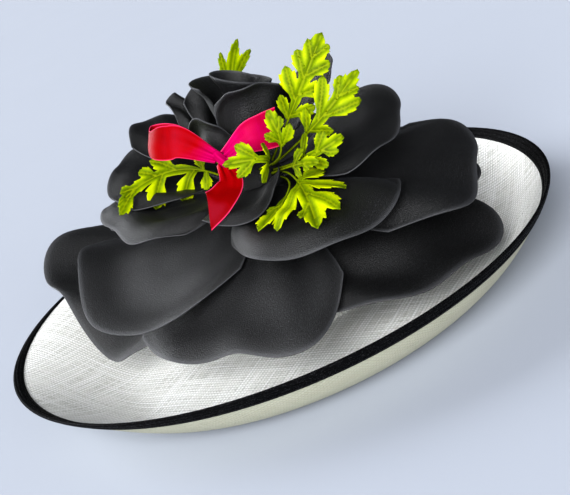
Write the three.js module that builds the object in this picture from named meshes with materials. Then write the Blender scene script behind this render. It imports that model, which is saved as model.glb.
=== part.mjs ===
// Wide-brim sinamay hat with a large satin rose, cut leaves and a ribbon bow.
// Millimetres, +Z up. The origin is the middle of the brim's footprint on the surface it rests on.
// +X is the wearer's front, -Y the wearer's right.
import * as THREE from 'three';

// Driving dimensions
const BRIM_RADIUS = 300;
const RIM_HEIGHT = 60;
const SINAMAY_THICKNESS = 1.6;
const HEAD_LENGTH = 200;
const HEAD_WIDTH = 176;
const COLLAR_HEIGHT = 14;
const CROWN_HEIGHT = 118;
const SEAM_GAP = 0.3;
const BINDING_WIDTH = 10;
const BINDING_THICKNESS = 1.0;
const BINDING_SLACK = 0.6;
const HEART_RADIUS = 35;
const HEART_FORWARD = 10;
const HEART_HEIGHT = 145;
const PETAL_THICKNESS = 1.4;
const LEAF_THICKNESS = 1.0;
const RIBBON_THICKNESS = 1.0;

// The brim turns up on the wearer's right and front, and rolls over towards the back left.
const UPTURN_SIDE = -62;
const UPTURN_START = 215;
const UPTURN_SLOPE = 55;
const UPTURN_SPREAD = 2;
const ROLLOVER_START = 125;
const ROLLOVER_SLOPE = -24;

const radians = THREE.MathUtils.degToRad;
const mix = THREE.MathUtils.lerp;

const IVORY = new THREE.MeshStandardMaterial({ color: 0xe6e4d6, roughness: 0.75, metalness: 0 });
const BLACK_BRAID = new THREE.MeshStandardMaterial({ color: 0x08080a, roughness: 0.6, metalness: 0 });
const BLACK_SATIN = new THREE.MeshStandardMaterial({ color: 0x131315, roughness: 0.5, metalness: 0 });
const LIME_LEAF = new THREE.MeshStandardMaterial({ color: 0xb4d20a, roughness: 0.6, metalness: 0 });
const PINK_SATIN = new THREE.MeshStandardMaterial({ color: 0xe00848, roughness: 0.35, metalness: 0 });

const hat = new THREE.Group();

function addPiece(name, geometry, material) {
  const piece = new THREE.Mesh(geometry, material);
  piece.name = name;
  hat.add(piece);
  return piece;
}

function rows(columns, table) {
  return table.map((row) => Object.fromEntries(columns.map((column, i) => [column, row[i]])));
}

function geometryFrom(points, triangles) {
  const geometry = new THREE.BufferGeometry();
  const numbers = points.flatMap((point) => point.toArray());
  geometry.setAttribute('position', new THREE.Float32BufferAttribute(numbers, 3));
  geometry.setIndex(triangles);
  geometry.computeVertexNormals();
  return geometry;
}

// A closed wall of even thickness on both sides of sheet(u, v), with u and v from 0 to 1.
function wallAroundSheet(sheet, acrossSteps, alongSteps, thickness) {
  const points = [];
  const step = 1e-3;
  const sides = [0.5, -0.5];
  for (const side of sides) {
    for (let j = 0; j <= alongSteps; j++) {
      for (let i = 0; i <= acrossSteps; i++) {
        const u = i / acrossSteps;
        const v = j / alongSteps;
        const across = sheet(Math.min(u + step, 1), v).sub(sheet(Math.max(u - step, 0), v));
        const along = sheet(u, Math.min(v + step, 1)).sub(sheet(u, Math.max(v - step, 0)));
        const normal = across.cross(along).normalize();
        points.push(sheet(u, v).addScaledVector(normal, side * thickness));
      }
    }
  }
  const row = acrossSteps + 1;
  const layer = row * (alongSteps + 1);
  const triangles = [];
  const quad = (a, b, c, d) => triangles.push(a, b, c, a, c, d);
  for (let j = 0; j < alongSteps; j++) {
    for (let i = 0; i < acrossSteps; i++) {
      const a = j * row + i;
      quad(a, a + 1, a + row + 1, a + row);
      quad(layer + a, layer + a + row, layer + a + row + 1, layer + a + 1);
    }
  }
  for (let i = 0; i < acrossSteps; i++) {
    const end = alongSteps * row + i;
    quad(layer + i, layer + i + 1, i + 1, i);
    quad(end, end + 1, layer + end + 1, layer + end);
  }
  for (let j = 0; j < alongSteps; j++) {
    const a = j * row;
    const b = a + acrossSteps;
    quad(a, a + row, layer + a + row, layer + a);
    quad(b + row, b, layer + b, layer + b + row);
  }
  return geometryFrom(points, triangles);
}

// A closed ring: sectionAt(angle) gives one closed cross-section, and the ring joins them all round.
// Each section runs anticlockwise as seen with the axis on the left and +Z up.
function ringOfSections(sectionAt, steps) {
  const points = [];
  for (let k = 0; k < steps; k++) {
    points.push(...sectionAt((2 * Math.PI * k) / steps));
  }
  const size = points.length / steps;
  const triangles = [];
  for (let k = 0; k < steps; k++) {
    const here = k * size;
    const next = ((k + 1) % steps) * size;
    for (let i = 0; i < size; i++) {
      const j = (i + 1) % size;
      triangles.push(here + i, next + i, next + j, here + i, next + j, here + j);
    }
  }
  return geometryFrom(points, triangles);
}

const onRay = (angle, radius, height) =>
  new THREE.Vector3(radius * Math.cos(angle), radius * Math.sin(angle), height);

// A point on the oval head line, pushed outwards by offset.
const onHeadOval = (angle, offset, height) =>
  new THREE.Vector3(
    (HEAD_LENGTH / 2 + offset) * Math.cos(angle),
    (HEAD_WIDTH / 2 + offset) * Math.sin(angle),
    height,
  );

// Brim

function brimCurve(angle) {
  const blend = ((1 - Math.cos(angle - radians(UPTURN_SIDE))) / 2) ** UPTURN_SPREAD;
  const start = mix(UPTURN_START, ROLLOVER_START, blend);
  const slope = Math.tan(radians(mix(UPTURN_SLOPE, ROLLOVER_SLOPE, blend)));
  return { start, slope, run: BRIM_RADIUS - start };
}

// Height of the brim's underside at a share t of the way from where it starts to rise to its edge.
function brimRise(curve, t) {
  const rise = RIM_HEIGHT * (3 * t ** 2 - 2 * t ** 3);
  return rise + curve.slope * curve.run * (t ** 3 - t ** 2);
}

function brimPoint(angle, t, lift) {
  const curve = brimCurve(angle);
  const step = 0.01;
  const grade = (brimRise(curve, t + step) - brimRise(curve, t - step)) / (2 * step * curve.run);
  const tilt = t <= 0 ? 0 : Math.atan(grade);
  const height = t <= 0 ? 0 : brimRise(curve, t);
  const radius = curve.start + t * curve.run;
  return onRay(angle, radius - lift * Math.sin(tilt), height + lift * Math.cos(tilt));
}

const COLLAR_BEND = 5;
const RING_STEPS = 52;

function brimSection(angle) {
  const wall = SINAMAY_THICKNESS;
  const bindingShare = 1 - BINDING_WIDTH / brimCurve(angle).run;
  const shares = [0, 0.25, 0.5, 0.75, bindingShare, 1];
  return [
    onHeadOval(angle, 0, COLLAR_HEIGHT),
    onHeadOval(angle, 0, COLLAR_BEND),
    onHeadOval(angle, COLLAR_BEND, 0),
    ...shares.map((t) => brimPoint(angle, t, 0)),
    ...shares.toReversed().map((t) => brimPoint(angle, t, wall)),
    onHeadOval(angle, COLLAR_BEND + wall / 2, wall),
    onHeadOval(angle, wall, COLLAR_BEND + wall / 2),
    onHeadOval(angle, wall, COLLAR_HEIGHT),
  ];
}

addPiece('brim', ringOfSections(brimSection, RING_STEPS), IVORY);

// Binding: braid folded over the brim's edge

function bindingSection(angle) {
  const { run } = brimCurve(angle);
  const inner = 1 - BINDING_WIDTH / run;
  const under = -BINDING_SLACK;
  const over = SINAMAY_THICKNESS + BINDING_SLACK;
  const fold = 1 + BINDING_SLACK / run;
  const outerFold = 1 + (BINDING_SLACK + BINDING_THICKNESS) / run;
  return [
    brimPoint(angle, inner, under - BINDING_THICKNESS),
    brimPoint(angle, 1, under - BINDING_THICKNESS),
    brimPoint(angle, outerFold, SINAMAY_THICKNESS / 2),
    brimPoint(angle, 1, over + BINDING_THICKNESS),
    brimPoint(angle, inner, over + BINDING_THICKNESS),
    brimPoint(angle, inner, over),
    brimPoint(angle, fold, over),
    brimPoint(angle, fold, under),
    brimPoint(angle, inner, under),
  ];
}

addPiece('edge_binding', ringOfSections(bindingSection, RING_STEPS), BLACK_BRAID);

// Crown: a blocked oval dome that sits over the brim's collar

const CROWN_FOOT = 6;
const CROWN_SQUARENESS = 2.5;
const CROWN_SHARES = [0, 0.55, 0.78, 0.92, 1];

function crownGeometry() {
  const meanRadius = (HEAD_LENGTH + HEAD_WIDTH) / 4;
  const inside = meanRadius + SINAMAY_THICKNESS + SEAM_GAP;
  const outside = inside + SINAMAY_THICKNESS;
  const spring = CROWN_FOOT + COLLAR_HEIGHT;
  const dome = (share) => (1 - share ** CROWN_SQUARENESS) ** (1 / CROWN_SQUARENESS);
  const outer = CROWN_SHARES.map((s) => new THREE.Vector2(s * outside, mix(spring, CROWN_HEIGHT, dome(s))));
  const underTop = CROWN_HEIGHT - SINAMAY_THICKNESS;
  const inner = CROWN_SHARES.map((s) => new THREE.Vector2(s * inside, mix(spring, underTop, dome(s))));
  const foot = [new THREE.Vector2(outside, CROWN_FOOT), new THREE.Vector2(inside, CROWN_FOOT)];
  const profile = [...inner, ...foot.toReversed(), ...outer.toReversed()];
  const geometry = new THREE.LatheGeometry(profile, RING_STEPS);
  geometry.rotateX(Math.PI / 2);
  return geometry.scale(HEAD_LENGTH / 2 / meanRadius, HEAD_WIDTH / 2 / meanRadius, 1);
}

addPiece('crown', crownGeometry(), IVORY);

// Flower: every petal is a sheet in polar coordinates about the flower's heart.
// reach is the distance from the heart, azimuth turns about the flower's axis, and lift is the angle
// above the flower's base plane. The axis leans forward more for the higher, inner petals.

const HEART = new THREE.Vector3(HEART_FORWARD, 0, HEART_HEIGHT);
const LOWEST_LIFT = -25;
const FULL_LEAN = 18;

function flowerPoint(reach, azimuth, lift) {
  const lean = radians((FULL_LEAN * (lift - LOWEST_LIFT)) / (90 - LOWEST_LIFT));
  const flat = reach * Math.cos(radians(lift));
  const point = new THREE.Vector3(
    flat * Math.cos(radians(azimuth)),
    flat * Math.sin(radians(azimuth)),
    reach * Math.sin(radians(lift)),
  );
  return point.applyAxisAngle(new THREE.Vector3(0, 1, 0), lean).add(HEART);
}

// A smooth curve through five values spaced evenly from u = -1 to u = 1.
function throughFive(values, u) {
  const place = Math.min(Math.max((u + 1) * 2, 0), 4);
  const i = Math.min(Math.floor(place), 3);
  const t = place - i;
  const at = (k) => values[Math.min(Math.max(k, 0), 4)];
  const startSlope = (at(i + 1) - at(i - 1)) / 2;
  const endSlope = (at(i + 2) - at(i)) / 2;
  const rise = at(i + 1) - at(i);
  return at(i) + startSlope * t + (3 * rise - 2 * startSlope - endSlope) * t ** 2
    + (startSlope + endSlope - 2 * rise) * t ** 3;
}

const ROOT_REACH = HEART_RADIUS + SEAM_GAP;
const ROOT_WIDTH = 0.55;
const LIP_START = 0.55;
const LIP_CORNER = 4;
const CORNER_ROUNDING = 0.3;
const PETAL_ACROSS = 10;
const PETAL_ALONG = 5;

// Columns: root is the lift at the heart. reach and lift are the free edge's at five even places across the
// petal, from its clockwise side to its anticlockwise side. roll is how far the cloth humps up before its
// lip rolls down, or below zero sinks before its lip flares out, and ruffle the height of the edge's waves.
// All angles are in degrees.
const PETALS = rows(['name', 'azimuth', 'spread', 'root', 'reach', 'lift', 'roll', 'ruffle', 'waves'], [
  ['petal_low_back_left', 172, 38, -24, [262, 286, 243, 234, 190], [-4, -6, -14, -27, -28], -2, 1.2, 3],
  ['petal_low_right', -48, 40, -26, [220, 233, 251, 264, 224], [-25, -26, -26, -26, -23], -2.5, 0.8, 3],
  ['petal_front', -114, 42, -20, [226, 230, 220, 245, 192], [-24, -24, -24, -23, -22], -2.5, 0.8, 4],
  ['petal_left', -159, 53, -17, [216, 206, 220, 190, 134], [-6, -6, -16, -18, -18], -2.5, 1.0, 3],
  ['petal_right_under', 0, 32, -18, [222, 236, 242, 238, 212], [-18, -18, -18, -18, -17], -1.5, 0.8, 3],
  ['petal_right', -20, 42, -12, [205, 242, 233, 237, 210], [-13, -12, -10, -6, -3], 2.5, 1.0, 3],
  ['petal_back', 92, 42, -20, [220, 240, 246, 240, 220], [-19, -18, -17, -16, -15], 2, 1.2, 4],
  ['petal_back_left', 125, 34, -10, [188, 203, 210, 206, 188], [-1, -1, -2, -3, -4], 1.5, 0.8, 3],
  ['petal_back_right', 48, 32, -12, [205, 222, 228, 222, 205], [-10, -10, -10, -10, -9], 1.5, 0.8, 3],
  ['petal_front_rolled', -76, 40, -7, [112, 169, 195, 196, 184], [-7, -7, -7, -6, -3], 2.5, 1.0, 3],
  ['petal_left_folded', -175, 38, 0, [165, 168, 152, 140, 108], [5, 5, 4, 0, 0], 3, 0.8, 3],
  ['petal_back_inner', 62, 36, 0, [160, 180, 188, 180, 160], [4, 4, 4, 4, 4], 2, 1.2, 3],
  ['petal_left_inner', 155, 32, 8, [150, 163, 158, 152, 130], [17, 17, 15, 10, 8], 2, 1.0, 3],
  ['petal_back_left_inner', 118, 28, 14, [145, 158, 165, 170, 155], [24, 24, 24, 24, 24], 2, 1.0, 3],
  ['petal_right_cup', -8, 42, 3, [130, 155, 168, 184, 162], [4, 5, 7, 14, 18], 2.5, 0.8, 3],
  ['petal_inner_front', -95, 38, 3, [98, 110, 108, 74, 56], [0, -1, -1, 10, 26], 2, 0.5, 2],
  ['petal_top_back', 28, 22, 34, [140, 156, 162, 160, 140], [38, 40, 40, 38, 36], 2, 1.0, 3],
  ['petal_top_left', 130, 22, 42, [90, 116, 130, 124, 96], [46, 46, 46, 46, 46], 3, 1.5, 3],
  ['bud_petal_left', -140, 40, 44, [72, 95, 104, 92, 70], [50, 54, 56, 56, 54], 2, 1.0, 2],
  ['bud_petal_back', 100, 62, 55, [108, 118, 122, 120, 112], [60, 62, 62, 62, 60], 1.5, 1.0, 4],
  ['bud_petal_front', -70, 54, 55, [112, 126, 128, 120, 104], [64, 63, 62, 60, 58], 1.5, 0.8, 3],
]);

// How strongly the lip's roll acts at a place on the petal: 0 on the edge and in the middle, 1 between them.
function lipShare(u, v) {
  const nearEdge = Math.min((Math.abs(u) ** LIP_CORNER + v ** LIP_CORNER) ** (1 / LIP_CORNER), 1);
  const place = Math.max((nearEdge - LIP_START) / (1 - LIP_START), 0);
  return Math.sin(Math.PI * place) ** 2 * THREE.MathUtils.smoothstep(v, 0.2, 0.6);
}

// Draws a place near one of the petal's outer corners in, which rounds the corner.
function roundedPlace(u, v) {
  return [
    u * Math.sqrt(1 - (CORNER_ROUNDING * v ** LIP_CORNER) / 2),
    v * Math.sqrt(1 - (CORNER_ROUNDING * u ** LIP_CORNER) / 2),
  ];
}

function petalSheet(petal) {
  return (across, along) => {
    const [u, v] = roundedPlace(2 * across - 1, along);
    const width = mix(ROOT_WIDTH, 1, THREE.MathUtils.smoothstep(v, 0, 0.5));
    const waves = petal.ruffle * Math.cos(Math.PI * petal.waves * u) * v ** 2;
    return flowerPoint(
      mix(ROOT_REACH, throughFive(petal.reach, u), v),
      petal.azimuth + u * petal.spread * width,
      mix(petal.root, throughFive(petal.lift, u), v ** 1.3) + petal.roll * lipShare(u, v) + waves,
    );
  };
}

for (const petal of PETALS) {
  const wall = wallAroundSheet(petalSheet(petal), PETAL_ACROSS, PETAL_ALONG, PETAL_THICKNESS);
  addPiece(petal.name, wall, BLACK_SATIN);
}

// Bud: a strip of the same cloth rolled up in the middle of the flower
const BUD_TURNS = 1.6;
const BUD_REACH = 116;
const BUD_WAVE = 6;
const BUD_INNER_LIFT = 84;
const BUD_OUTER_LIFT = 69;
const BUD_AROUND = 22;
const BUD_ALONG = 3;

function budSheet(across, v) {
  const dip = BUD_WAVE * Math.cos(across * BUD_TURNS * 2 * Math.PI);
  return flowerPoint(
    mix(ROOT_REACH, BUD_REACH - dip, v),
    across * BUD_TURNS * 360,
    mix(BUD_INNER_LIFT, BUD_OUTER_LIFT, across),
  );
}

addPiece('bud_core', wallAroundSheet(budSheet, BUD_AROUND, BUD_ALONG, PETAL_THICKNESS), BLACK_SATIN);

// Heart: the padded base under the flower, which carries every petal's root and sits on the crown
const HEART_RINGS = 9;
const HEART_SIDES = 20;

function heartGeometry() {
  const flat = CROWN_HEIGHT + SEAM_GAP - HEART_HEIGHT;
  const profile = [new THREE.Vector2(0, flat)];
  const startAngle = Math.asin(flat / HEART_RADIUS);
  for (let i = 0; i < HEART_RINGS; i++) {
    const angle = mix(startAngle, Math.PI / 2, i / HEART_RINGS);
    profile.push(new THREE.Vector2(HEART_RADIUS * Math.cos(angle), HEART_RADIUS * Math.sin(angle)));
  }
  profile.push(new THREE.Vector2(0, HEART_RADIUS));
  return new THREE.LatheGeometry(profile, HEART_SIDES).rotateX(Math.PI / 2);
}

addPiece('flower_heart', heartGeometry(), BLACK_SATIN).position.copy(HEART);

// Leaves: cut leaves on short stalks, bent along a curve from the heart

const STALK_HALF_WIDTH = 1.2;
// The blade is lobed like celery. The lobes lean forward and get smaller towards the tip.
const LOBE_ANGLE = 48;
const LOBE_SHRINK = 0.5;
const LOBED_SHARE = 0.62;
const TIP_SHARE = 0.18;
const TIP_HALF_WIDTH = 0.4;
const LOBE_OUTLINE = rows(['along', 'across'], [
  [0.3, 0.26],
  [0.72, 0.5],
  [1, 0],
  [0.66, -0.46],
]);

const FACING_OUT = new THREE.Vector3(0, -0.93, 0.37);
const FACING_UP = new THREE.Vector3(0, -0.3, 0.95);

// Columns: the stalk's azimuth and lift on the heart, the midrib's middle and tip, the direction that the
// blade faces, the bare stalk's share of the length, the lobes on each side, and their length and width.
const LEAVES = rows(
  ['name', 'azimuth', 'lift', 'middle', 'tip', 'facing', 'stalk', 'lobes', 'lobeLength', 'lobeWidth'],
  [
    ['leaf_behind_bud', 100, 42, [28, 76, 222], [58, 60, 278], FACING_OUT, 0.66, 1, 26, 13],
    ['leaf_tall', -28, 36, [78, -57, 216], [130, -52, 269], FACING_OUT, 0.4, 3, 30, 20],
    ['leaf_right_tall', -38, 29, [90, -70, 193], [147, -66, 225], FACING_OUT, 0.45, 3, 26, 15],
    ['leaf_front_up', -60, 34, [48, -80, 186], [49, -84, 228], FACING_OUT, 0.6, 1, 14, 10],
    ['leaf_right', -44, 21, [70, -76, 167], [108, -84, 175], FACING_OUT, 0.5, 2, 15, 11],
    ['leaf_right_low', -52, 17, [60, -80, 165], [76, -98, 163], FACING_OUT, 0.5, 1, 15, 11],
    ['leaf_front_left', -72, 32, [30, -90, 186], [-10, -90, 198], FACING_OUT, 0.45, 3, 14, 11],
    ['leaf_fan', -48, 14, [50, -86, 154], [46, -186, 134], FACING_UP, 0.42, 2, 52, 24],
    ['leaf_narrow', -46, 8, [40, -80, 146], [-4, -146, 141], FACING_UP, 0.5, 1, 16, 10],
    ['leaf_left_spray', 176, 28, [-66, 20, 186], [-124, -12, 184], FACING_OUT, 0.35, 3, 26, 14],
    ['leaf_back_left', 140, 32, [-26, 52, 190], [-30, 62, 217], FACING_OUT, 0.6, 1, 10, 8],
  ],
);

// Outline in millimetres from the stalk's foot: distance along the midrib and distance across it.
function leafOutline(leaf, length) {
  const side = [];
  const bladeStart = leaf.stalk * length;
  const bladeLength = length - bladeStart;
  for (let lobe = 0; lobe < leaf.lobes; lobe++) {
    const share = lobe / leaf.lobes;
    const size = 1 - LOBE_SHRINK * share;
    const foot = bladeStart + LOBED_SHARE * bladeLength * share;
    const angle = radians(LOBE_ANGLE);
    for (const { along, across } of LOBE_OUTLINE) {
      const out = along * leaf.lobeLength * size;
      const beside = across * leaf.lobeWidth * size;
      side.push([foot + out * Math.cos(angle) - beside * Math.sin(angle),
        out * Math.sin(angle) + beside * Math.cos(angle)]);
    }
  }
  side.push([length - TIP_SHARE * bladeLength, TIP_HALF_WIDTH * leaf.lobeWidth]);
  const stalk = [[0, STALK_HALF_WIDTH], [bladeStart, STALK_HALF_WIDTH]];
  const left = [...stalk, ...side];
  const right = left.map(([along, across]) => [along, -across]).reverse();
  return [...left, [length, 0], ...right].map(([along, across]) => new THREE.Vector2(along, across));
}

function leafGeometry(leaf) {
  const root = flowerPoint(HEART_RADIUS + SEAM_GAP, leaf.azimuth, leaf.lift);
  const middle = new THREE.Vector3(...leaf.middle);
  const tip = new THREE.Vector3(...leaf.tip);
  const bend = middle.multiplyScalar(2).sub(root.clone().add(tip).multiplyScalar(0.5));
  const midrib = new THREE.QuadraticBezierCurve3(root, bend, tip);
  const length = midrib.getLength();
  const outline = leafOutline(leaf, length);
  const count = outline.length;
  const points = [0.5, -0.5].flatMap((side) => outline.map(({ x, y }) => {
    const share = Math.min(x / length, 1);
    const tangent = midrib.getTangentAt(share);
    const across = new THREE.Vector3().crossVectors(leaf.facing, tangent).normalize();
    const through = new THREE.Vector3().crossVectors(tangent, across).multiplyScalar(side * LEAF_THICKNESS);
    return midrib.getPointAt(share).addScaledVector(across, y).add(through);
  }));
  const faces = THREE.ShapeUtils.triangulateShape(outline, []);
  const clockwise = THREE.ShapeUtils.isClockWise(outline);
  const triangles = [];
  for (const [a, b, c] of faces) {
    triangles.push(a, b, c, count + a, count + c, count + b);
  }
  for (let i = 0; i < count; i++) {
    const j = (i + 1) % count;
    if (clockwise) triangles.push(i, j, count + j, i, count + j, count + i);
    else triangles.push(j, i, count + i, j, count + i, count + j);
  }
  return geometryFrom(points, triangles);
}

for (const leaf of LEAVES) {
  addPiece(leaf.name, leafGeometry(leaf), LIME_LEAF);
}

// Ribbon: a satin bow in front of the bud, with one loop and two tails on a knot

const RIBBON_UP = new THREE.Vector3(0.4, 0.3, 0.86);
const RIBBON_SIDE = new THREE.Vector3(0.91, -0.15, -0.38);

const KNOT_CENTRE = new THREE.Vector3(-9, -60, 196);
const KNOT_RADIUS = 8;

// Columns: the direction that the ribbon's width lies along, whether its end comes back to the knot, and
// stations along its middle line, each x, y, z and the width there. Every ribbon starts at the knot.
const NARROW = 12;
const RIBBONS = rows(['name', 'across', 'returns', 'stations'], [
  ['ribbon_loop', RIBBON_UP, true, [
    [-41, -56, 227, 30], [-60, -44, 233, 34], [-65, -34, 234, 24], [-60, -28, 232, 34], [-41, -36, 224, 28],
  ]],
  ['ribbon_tail_up', RIBBON_UP, false, [[22, -70, 207, 30], [42, -68, 206, 36], [58, -64, 204, 38]]],
  ['ribbon_tail_down', RIBBON_SIDE, false, [[-9, -78, 176, 24], [-26, -92, 168, 30], [-50, -96, 161, 34]]],
]);

function stationAtKnot([x, y, z]) {
  const out = new THREE.Vector3(x, y, z).sub(KNOT_CENTRE).setLength(KNOT_RADIUS + SEAM_GAP);
  return [...out.add(KNOT_CENTRE).toArray(), NARROW];
}

for (const ribbon of RIBBONS) {
  const last = ribbon.stations.at(-1);
  ribbon.stations.unshift(stationAtKnot(ribbon.stations[0]));
  if (ribbon.returns) ribbon.stations.push(stationAtKnot(last));
}

function ribbonSheet(ribbon) {
  const middles = ribbon.stations.map(([x, y, z]) => new THREE.Vector3(x, y, z));
  const path = new THREE.CatmullRomCurve3(middles);
  return (acrossShare, v) => {
    const tangent = path.getTangent(v);
    const across = ribbon.across.clone().addScaledVector(tangent, -tangent.dot(ribbon.across)).normalize();
    const place = v * (ribbon.stations.length - 1);
    const i = Math.min(Math.floor(place), ribbon.stations.length - 2);
    const width = mix(ribbon.stations[i][3], ribbon.stations[i + 1][3], place - i);
    return path.getPoint(v).addScaledVector(across, (acrossShare - 0.5) * width);
  };
}

const RIBBON_ACROSS = 2;
const STEPS_BETWEEN_STATIONS = 3;

for (const ribbon of RIBBONS) {
  const steps = STEPS_BETWEEN_STATIONS * (ribbon.stations.length - 1);
  const wall = wallAroundSheet(ribbonSheet(ribbon), RIBBON_ACROSS, steps, RIBBON_THICKNESS);
  addPiece(ribbon.name, wall, PINK_SATIN);
}

const KNOT_SIDES = 14;
const KNOT_RINGS = 9;
const knotBall = new THREE.SphereGeometry(KNOT_RADIUS, KNOT_SIDES, KNOT_RINGS);
addPiece('ribbon_knot', knotBall, PINK_SATIN).position.copy(KNOT_CENTRE);

// A hidden pin carries the knot from the heart.
const PIN_RADIUS = 1.5;
const PIN_SIDES = 8;
const toKnot = KNOT_CENTRE.clone().sub(HEART);
const pinStart = HEART_RADIUS + SEAM_GAP;
const pinLength = toKnot.length() - KNOT_RADIUS - SEAM_GAP - pinStart;
const pinGeometry = new THREE.CylinderGeometry(PIN_RADIUS, PIN_RADIUS, pinLength, PIN_SIDES);
const pin = addPiece('ribbon_pin', pinGeometry, BLACK_SATIN);
pin.position.copy(toKnot).setLength(pinStart + pinLength / 2).add(HEART);
pin.quaternion.setFromUnitVectors(new THREE.Vector3(0, 1, 0), toKnot.clone().normalize());

export default hat;
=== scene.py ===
# Looks of a wide-brim sinamay hat with a large black cloth rose, cut leaves and a satin bow.
# Sizes are in millimetres, as in the part's source, and become metres where a mesh is made.
import math

import bmesh
import bpy
import numpy as np
from mathutils import Matrix, Vector
from mathutils.geometry import delaunay_2d_cdt


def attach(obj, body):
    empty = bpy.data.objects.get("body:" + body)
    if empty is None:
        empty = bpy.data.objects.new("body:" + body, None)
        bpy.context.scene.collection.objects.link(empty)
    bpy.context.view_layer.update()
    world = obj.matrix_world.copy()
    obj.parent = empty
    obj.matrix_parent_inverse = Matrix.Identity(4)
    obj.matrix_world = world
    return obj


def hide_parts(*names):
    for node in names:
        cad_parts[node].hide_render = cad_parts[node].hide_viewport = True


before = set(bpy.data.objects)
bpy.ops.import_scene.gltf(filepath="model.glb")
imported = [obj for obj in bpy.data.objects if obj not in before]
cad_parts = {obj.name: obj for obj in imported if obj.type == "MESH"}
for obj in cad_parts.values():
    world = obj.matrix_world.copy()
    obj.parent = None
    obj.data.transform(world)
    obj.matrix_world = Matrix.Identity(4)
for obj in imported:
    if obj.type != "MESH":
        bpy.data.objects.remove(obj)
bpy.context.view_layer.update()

MM = 0.001

# Driving dimensions, the same as in the part's source
BRIM_RADIUS = 300
RIM_HEIGHT = 60
SINAMAY_THICKNESS = 1.6
HEAD_LENGTH = 200
HEAD_WIDTH = 176
COLLAR_HEIGHT = 14
COLLAR_BEND = 5
CROWN_HEIGHT = 118
CROWN_FOOT = 6
CROWN_SQUARENESS = 2.5
SEAM_GAP = 0.3
HEART_RADIUS = 35
HEART = np.array([10, 0, 145])
UPTURN_SIDE = math.radians(-62)
UPTURN_START = 215
UPTURN_SLOPE = 55
UPTURN_SPREAD = 2
ROLLOVER_START = 125
ROLLOVER_SLOPE = -24

# Cloth and its binding, which are a little finer here than in the part's source
BINDING_WIDTH = 8
BINDING_THICKNESS = 0.7
BINDING_SLACK = 0.3
PETAL_THICKNESS = 1.3
LEAF_THICKNESS = 0.9
RIBBON_THICKNESS = 0.7
CUT_EDGE_ROUNDING = 0.35

# Points closer than this, in metres, become one
MERGE_DISTANCE = 1e-6

# The camera looks at the hat from its near side, a little above the brim.
CAMERA_PLACE = Vector((0, -1.128274, 0.468652))
CAMERA_TARGET = Vector((0.014748, 0.001085, 0.063274))
CAMERA_ROLL = math.radians(-23.538)
CAMERA_LENS = 70.75
CAMERA_SENSOR = 36


# Small helpers on arrays of points


def mix(a, b, t):
    return a + (b - a) * t


def smoothstep(value, low, high):
    t = np.clip((value - low) / (high - low), 0, 1)
    return t * t * (3 - 2 * t)


def unit(vectors):
    return vectors / np.maximum(np.linalg.norm(vectors, axis=-1, keepdims=True), 1e-9)


def rows(columns, table):
    return [dict(zip(columns, row)) for row in table]


def through_five(values, u):
    """A smooth curve through five values spaced evenly from u = -1 to u = 1."""
    place = np.clip((u + 1) * 2, 0, 4)
    i = np.minimum(place.astype(int), 3)
    t = place - i
    padded = np.array([values[0], *values, values[-1]], float)
    before, here, after, beyond = (padded[i + k] for k in range(4))
    start_slope = (after - before) / 2
    end_slope = (beyond - here) / 2
    rise = after - here
    bend = 3 * rise - 2 * start_slope - end_slope
    twist = start_slope + end_slope - 2 * rise
    return here + start_slope * t + bend * t**2 + twist * t**3


def catmull_rom(stations, share):
    """A smooth curve through rows of numbers, at shares from 0 to 1 of the way along it."""
    stations = np.array(stations, float)
    padded = np.vstack([2 * stations[0] - stations[1], stations, 2 * stations[-1] - stations[-2]])
    place = np.clip(share, 0, 1) * (len(stations) - 1)
    i = np.minimum(place.astype(int), len(stations) - 2)
    t = (place - i)[..., None]
    a, b, c, d = (padded[i + k] for k in range(4))
    return 0.5 * (2 * b + (c - a) * t + (2 * a - 5 * b + 4 * c - d) * t**2 + (3 * b - a - 3 * c + d) * t**3)


def waves(u, v, seed, count=4):
    """Slow, uneven waves between about -1 and 1, the same ones for the same seed."""
    chance = np.random.default_rng(seed)
    total = np.zeros_like(u)
    for _ in range(count):
        across, along = chance.uniform(-3.2, 3.2, 2)
        total += np.sin(across * u + along * v + chance.uniform(0, 2 * math.pi))
    return total / math.sqrt(2 * count)


# Meshes


def quads_of_grid(rows_count, columns_count, closed_rows=False):
    """Faces between the points of a grid that is listed row by row."""
    last_row = rows_count if closed_rows else rows_count - 1
    j, i = np.meshgrid(np.arange(last_row), np.arange(columns_count - 1), indexing="ij")
    here = j * columns_count + i
    below = ((j + 1) % rows_count) * columns_count + i
    return np.stack([here, here + 1, below + 1, below], -1).reshape(-1, 4)


def set_cloth_map(mesh, flat):
    """Gives the mesh a UV map, in metres on the flat cloth, from one place a vertex."""
    corner = np.zeros(len(mesh.loops), int)
    mesh.loops.foreach_get("vertex_index", corner)
    layer = mesh.uv_layers.new(name="cloth")
    layer.data.foreach_set("uv", (flat[corner] * MM).astype(np.float32).ravel())


def set_share(mesh, name, values):
    """Keeps one number a vertex for a material to read."""
    attribute = mesh.attributes.new(name, "FLOAT", "POINT")
    attribute.data.foreach_set("value", np.asarray(values, np.float32).ravel())


def add_object(name, mesh, material):
    mesh.materials.append(material)
    mesh.polygons.foreach_set("use_smooth", np.ones(len(mesh.polygons), bool))
    made = bpy.data.objects.new(name, mesh)
    bpy.context.scene.collection.objects.link(made)
    return made


def mesh_from(name, points, faces, flat, shares=()):
    """A mesh from points in millimetres, with its flat cloth places and its named numbers."""
    mesh = bpy.data.meshes.new(name)
    mesh.from_pydata((points.reshape(-1, 3) * MM).tolist(), [], [list(map(int, f)) for f in faces])
    set_cloth_map(mesh, flat.reshape(-1, 2))
    for share_name, values in dict(shares).items():
        set_share(mesh, share_name, values)
    return mesh


def normals_of_grid(points):
    across = np.gradient(points, axis=1)
    along = np.gradient(points, axis=0)
    return unit(np.cross(across, along))


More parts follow.
